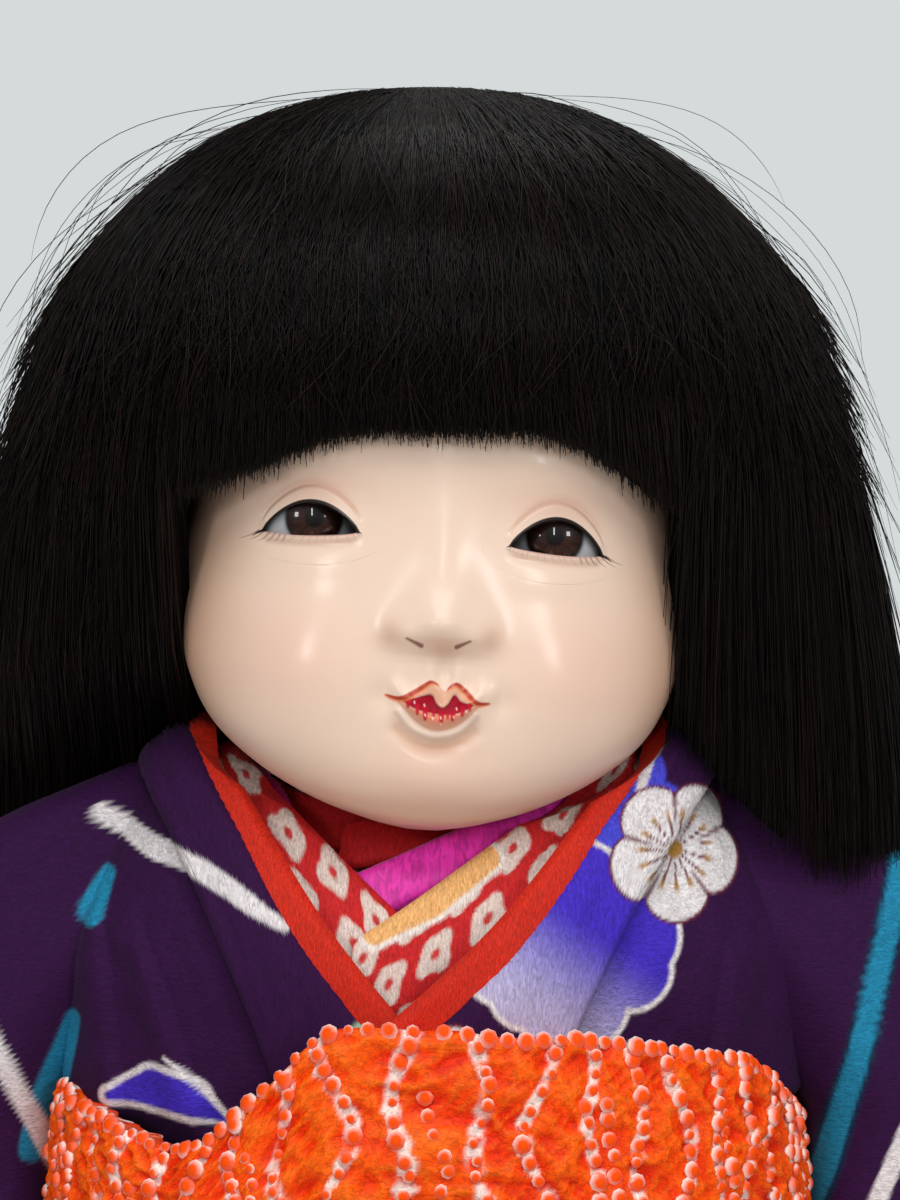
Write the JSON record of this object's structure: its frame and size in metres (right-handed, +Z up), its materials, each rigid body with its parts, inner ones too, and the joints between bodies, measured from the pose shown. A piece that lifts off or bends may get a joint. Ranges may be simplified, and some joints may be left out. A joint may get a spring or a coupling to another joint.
{
  "type": "ichimatsu doll",
  "caption": "Standing Japanese doll with painted head, glass eyes, bobbed hair, crossed collars, long-sleeved kimono, tied sash, socks and sandals, jointed at the neck, shoulders and hips.",
  "frame": {"origin": "on the floor, under the middle of the doll's bounding box", "axes": "+Z up, -Y the way the doll faces, +X towards the doll's left hand"},
  "size_m": [0.232, 0.1385, 0.5035],
  "materials": {
    "shell_white": "wood-paste composition under polished shell-white paint",
    "eye_glass": "polished glass with a dark red-brown iris",
    "hair": "straight black hair, brush-cut at the fringe",
    "cotton": "stuffed plain cotton",
    "sock_white": "white split-toe sock cotton",
    "red_crepe": "red silk crepe",
    "pink_satin": "magenta satin",
    "vermilion_crepe": "vermilion silk crepe",
    "purple_crepe": "dark purple printed silk crepe",
    "orange_silk": "orange tie-dyed silk with raised dots",
    "straw": "wooden sole under woven straw"
  },
  "bodies": {
    "torso": {"chest_shell": "shell_white", "midriff_cloth": "cotton", "hip_shell": "shell_white", "undershirt_collar": "red_crepe", "pink_collar": "pink_satin", "dotted_collar": "red_crepe", "accent_collar": "vermilion_crepe", "kimono_collar": "purple_crepe", "under_kimono": "red_crepe", "kimono": "purple_crepe", "hem_lining": "red_crepe", "waist_cord": "pink_satin", "sash": "orange_silk", "bow_knot": "orange_silk", "bow_left_loop": "orange_silk", "bow_right_loop": "orange_silk", "bow_left_tail": "orange_silk", "bow_right_tail": "orange_silk"},
    "head": {"head": "shell_white", "left_eye": "eye_glass", "right_eye": "eye_glass", "hair_fringe": "hair", "hair_left_side": "hair", "hair_right_side": "hair", "hair_back": "hair"},
    "left_arm": {"left_upper_arm": "cotton", "left_forearm": "shell_white", "left_under_sleeve": "red_crepe", "left_sleeve": "purple_crepe"},
    "right_arm": {"right_upper_arm": "cotton", "right_forearm": "shell_white", "right_under_sleeve": "red_crepe", "right_sleeve": "purple_crepe"},
    "left_leg": {"left_thigh": "cotton", "left_lower_leg": "shell_white", "left_sock": "sock_white", "left_sandal": "straw", "left_sandal_strap": "red_crepe"},
    "right_leg": {"right_thigh": "cotton", "right_lower_leg": "shell_white", "right_sock": "sock_white", "right_sandal": "straw", "right_sandal_strap": "red_crepe"}
  },
  "joints": [
    {"name": "head_turn", "type": "hinge", "parent": "torso", "child": "head", "pos_m": [0, -0.0089, 0.3669], "axis": [0, 0, 1], "range_deg": [-15, 10], "deforming": ["hair_left_side", "hair_right_side", "hair_back"]},
    {"name": "left_shoulder", "type": "hinge", "parent": "torso", "child": "left_arm", "pos_m": [0.0455, -0.0129, 0.3469], "axis": [-1, 0, 0], "range_deg": [-20, 45]},
    {"name": "right_shoulder", "type": "hinge", "parent": "torso", "child": "right_arm", "pos_m": [-0.0455, -0.0129, 0.3469], "axis": [-1, 0, 0], "range_deg": [-20, 45]},
    {"name": "left_hip", "type": "hinge", "parent": "torso", "child": "left_leg", "pos_m": [0.021, -0.0129, 0.1689], "axis": [-1, 0, 0], "range_deg": [-7, 5]},
    {"name": "right_hip", "type": "hinge", "parent": "torso", "child": "right_leg", "pos_m": [-0.021, -0.0129, 0.1689], "axis": [-1, 0, 0], "range_deg": [-7, 5]}
  ]
}
